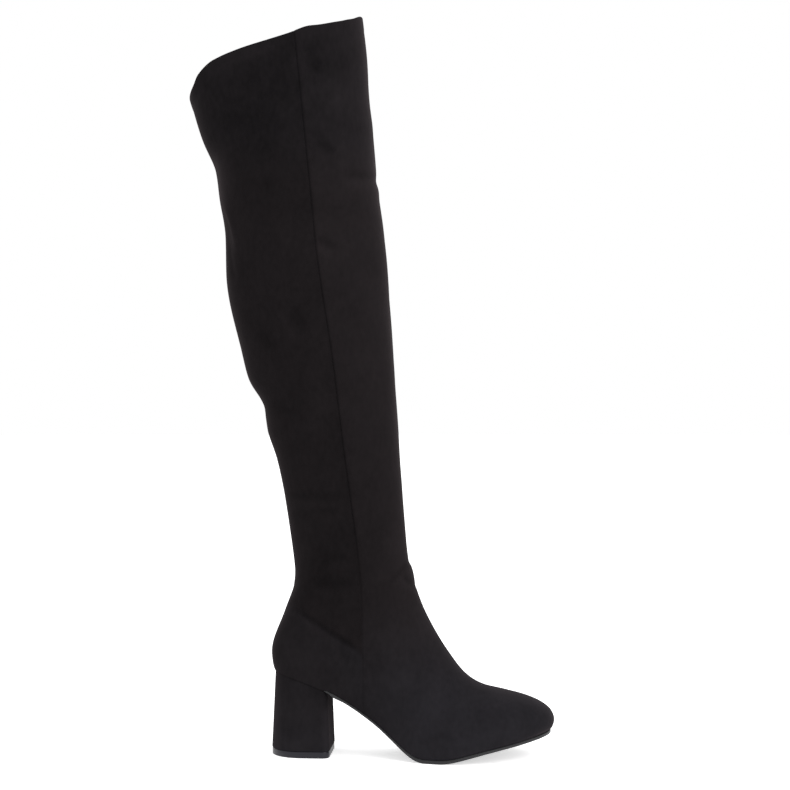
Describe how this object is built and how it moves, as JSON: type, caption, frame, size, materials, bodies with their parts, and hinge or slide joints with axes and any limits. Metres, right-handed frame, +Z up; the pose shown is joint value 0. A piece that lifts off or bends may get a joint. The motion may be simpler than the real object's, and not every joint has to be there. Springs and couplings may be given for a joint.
{
  "type": "over-the-knee heeled boot",
  "caption": "Tall black suede boot for a right foot, with a slanted collar above the knee, side seams, almond toe, thin arched sole and a covered block heel.",
  "frame": {"origin": "on the floor under the middle of the boot's box", "axes": "+X towards the toe, +Y towards the wearer's left (the inner side of this right boot), +Z up the leg"},
  "size_m": [0.3102, 0.1064, 0.6263],
  "materials": {
    "suede": "black suede, short nap, matt",
    "sock_lining": "black woven sock lining",
    "sole_rubber": "black, smooth trimmed edge",
    "heel_cover": "black suede cover, matt",
    "top_piece": "black, satin"
  },
  "bodies": {
    "root": {"upper": "suede", "insole": "sock_lining", "outsole": "sole_rubber", "heel": "heel_cover", "heel_top_piece": "top_piece"}
  },
  "joints": []
}
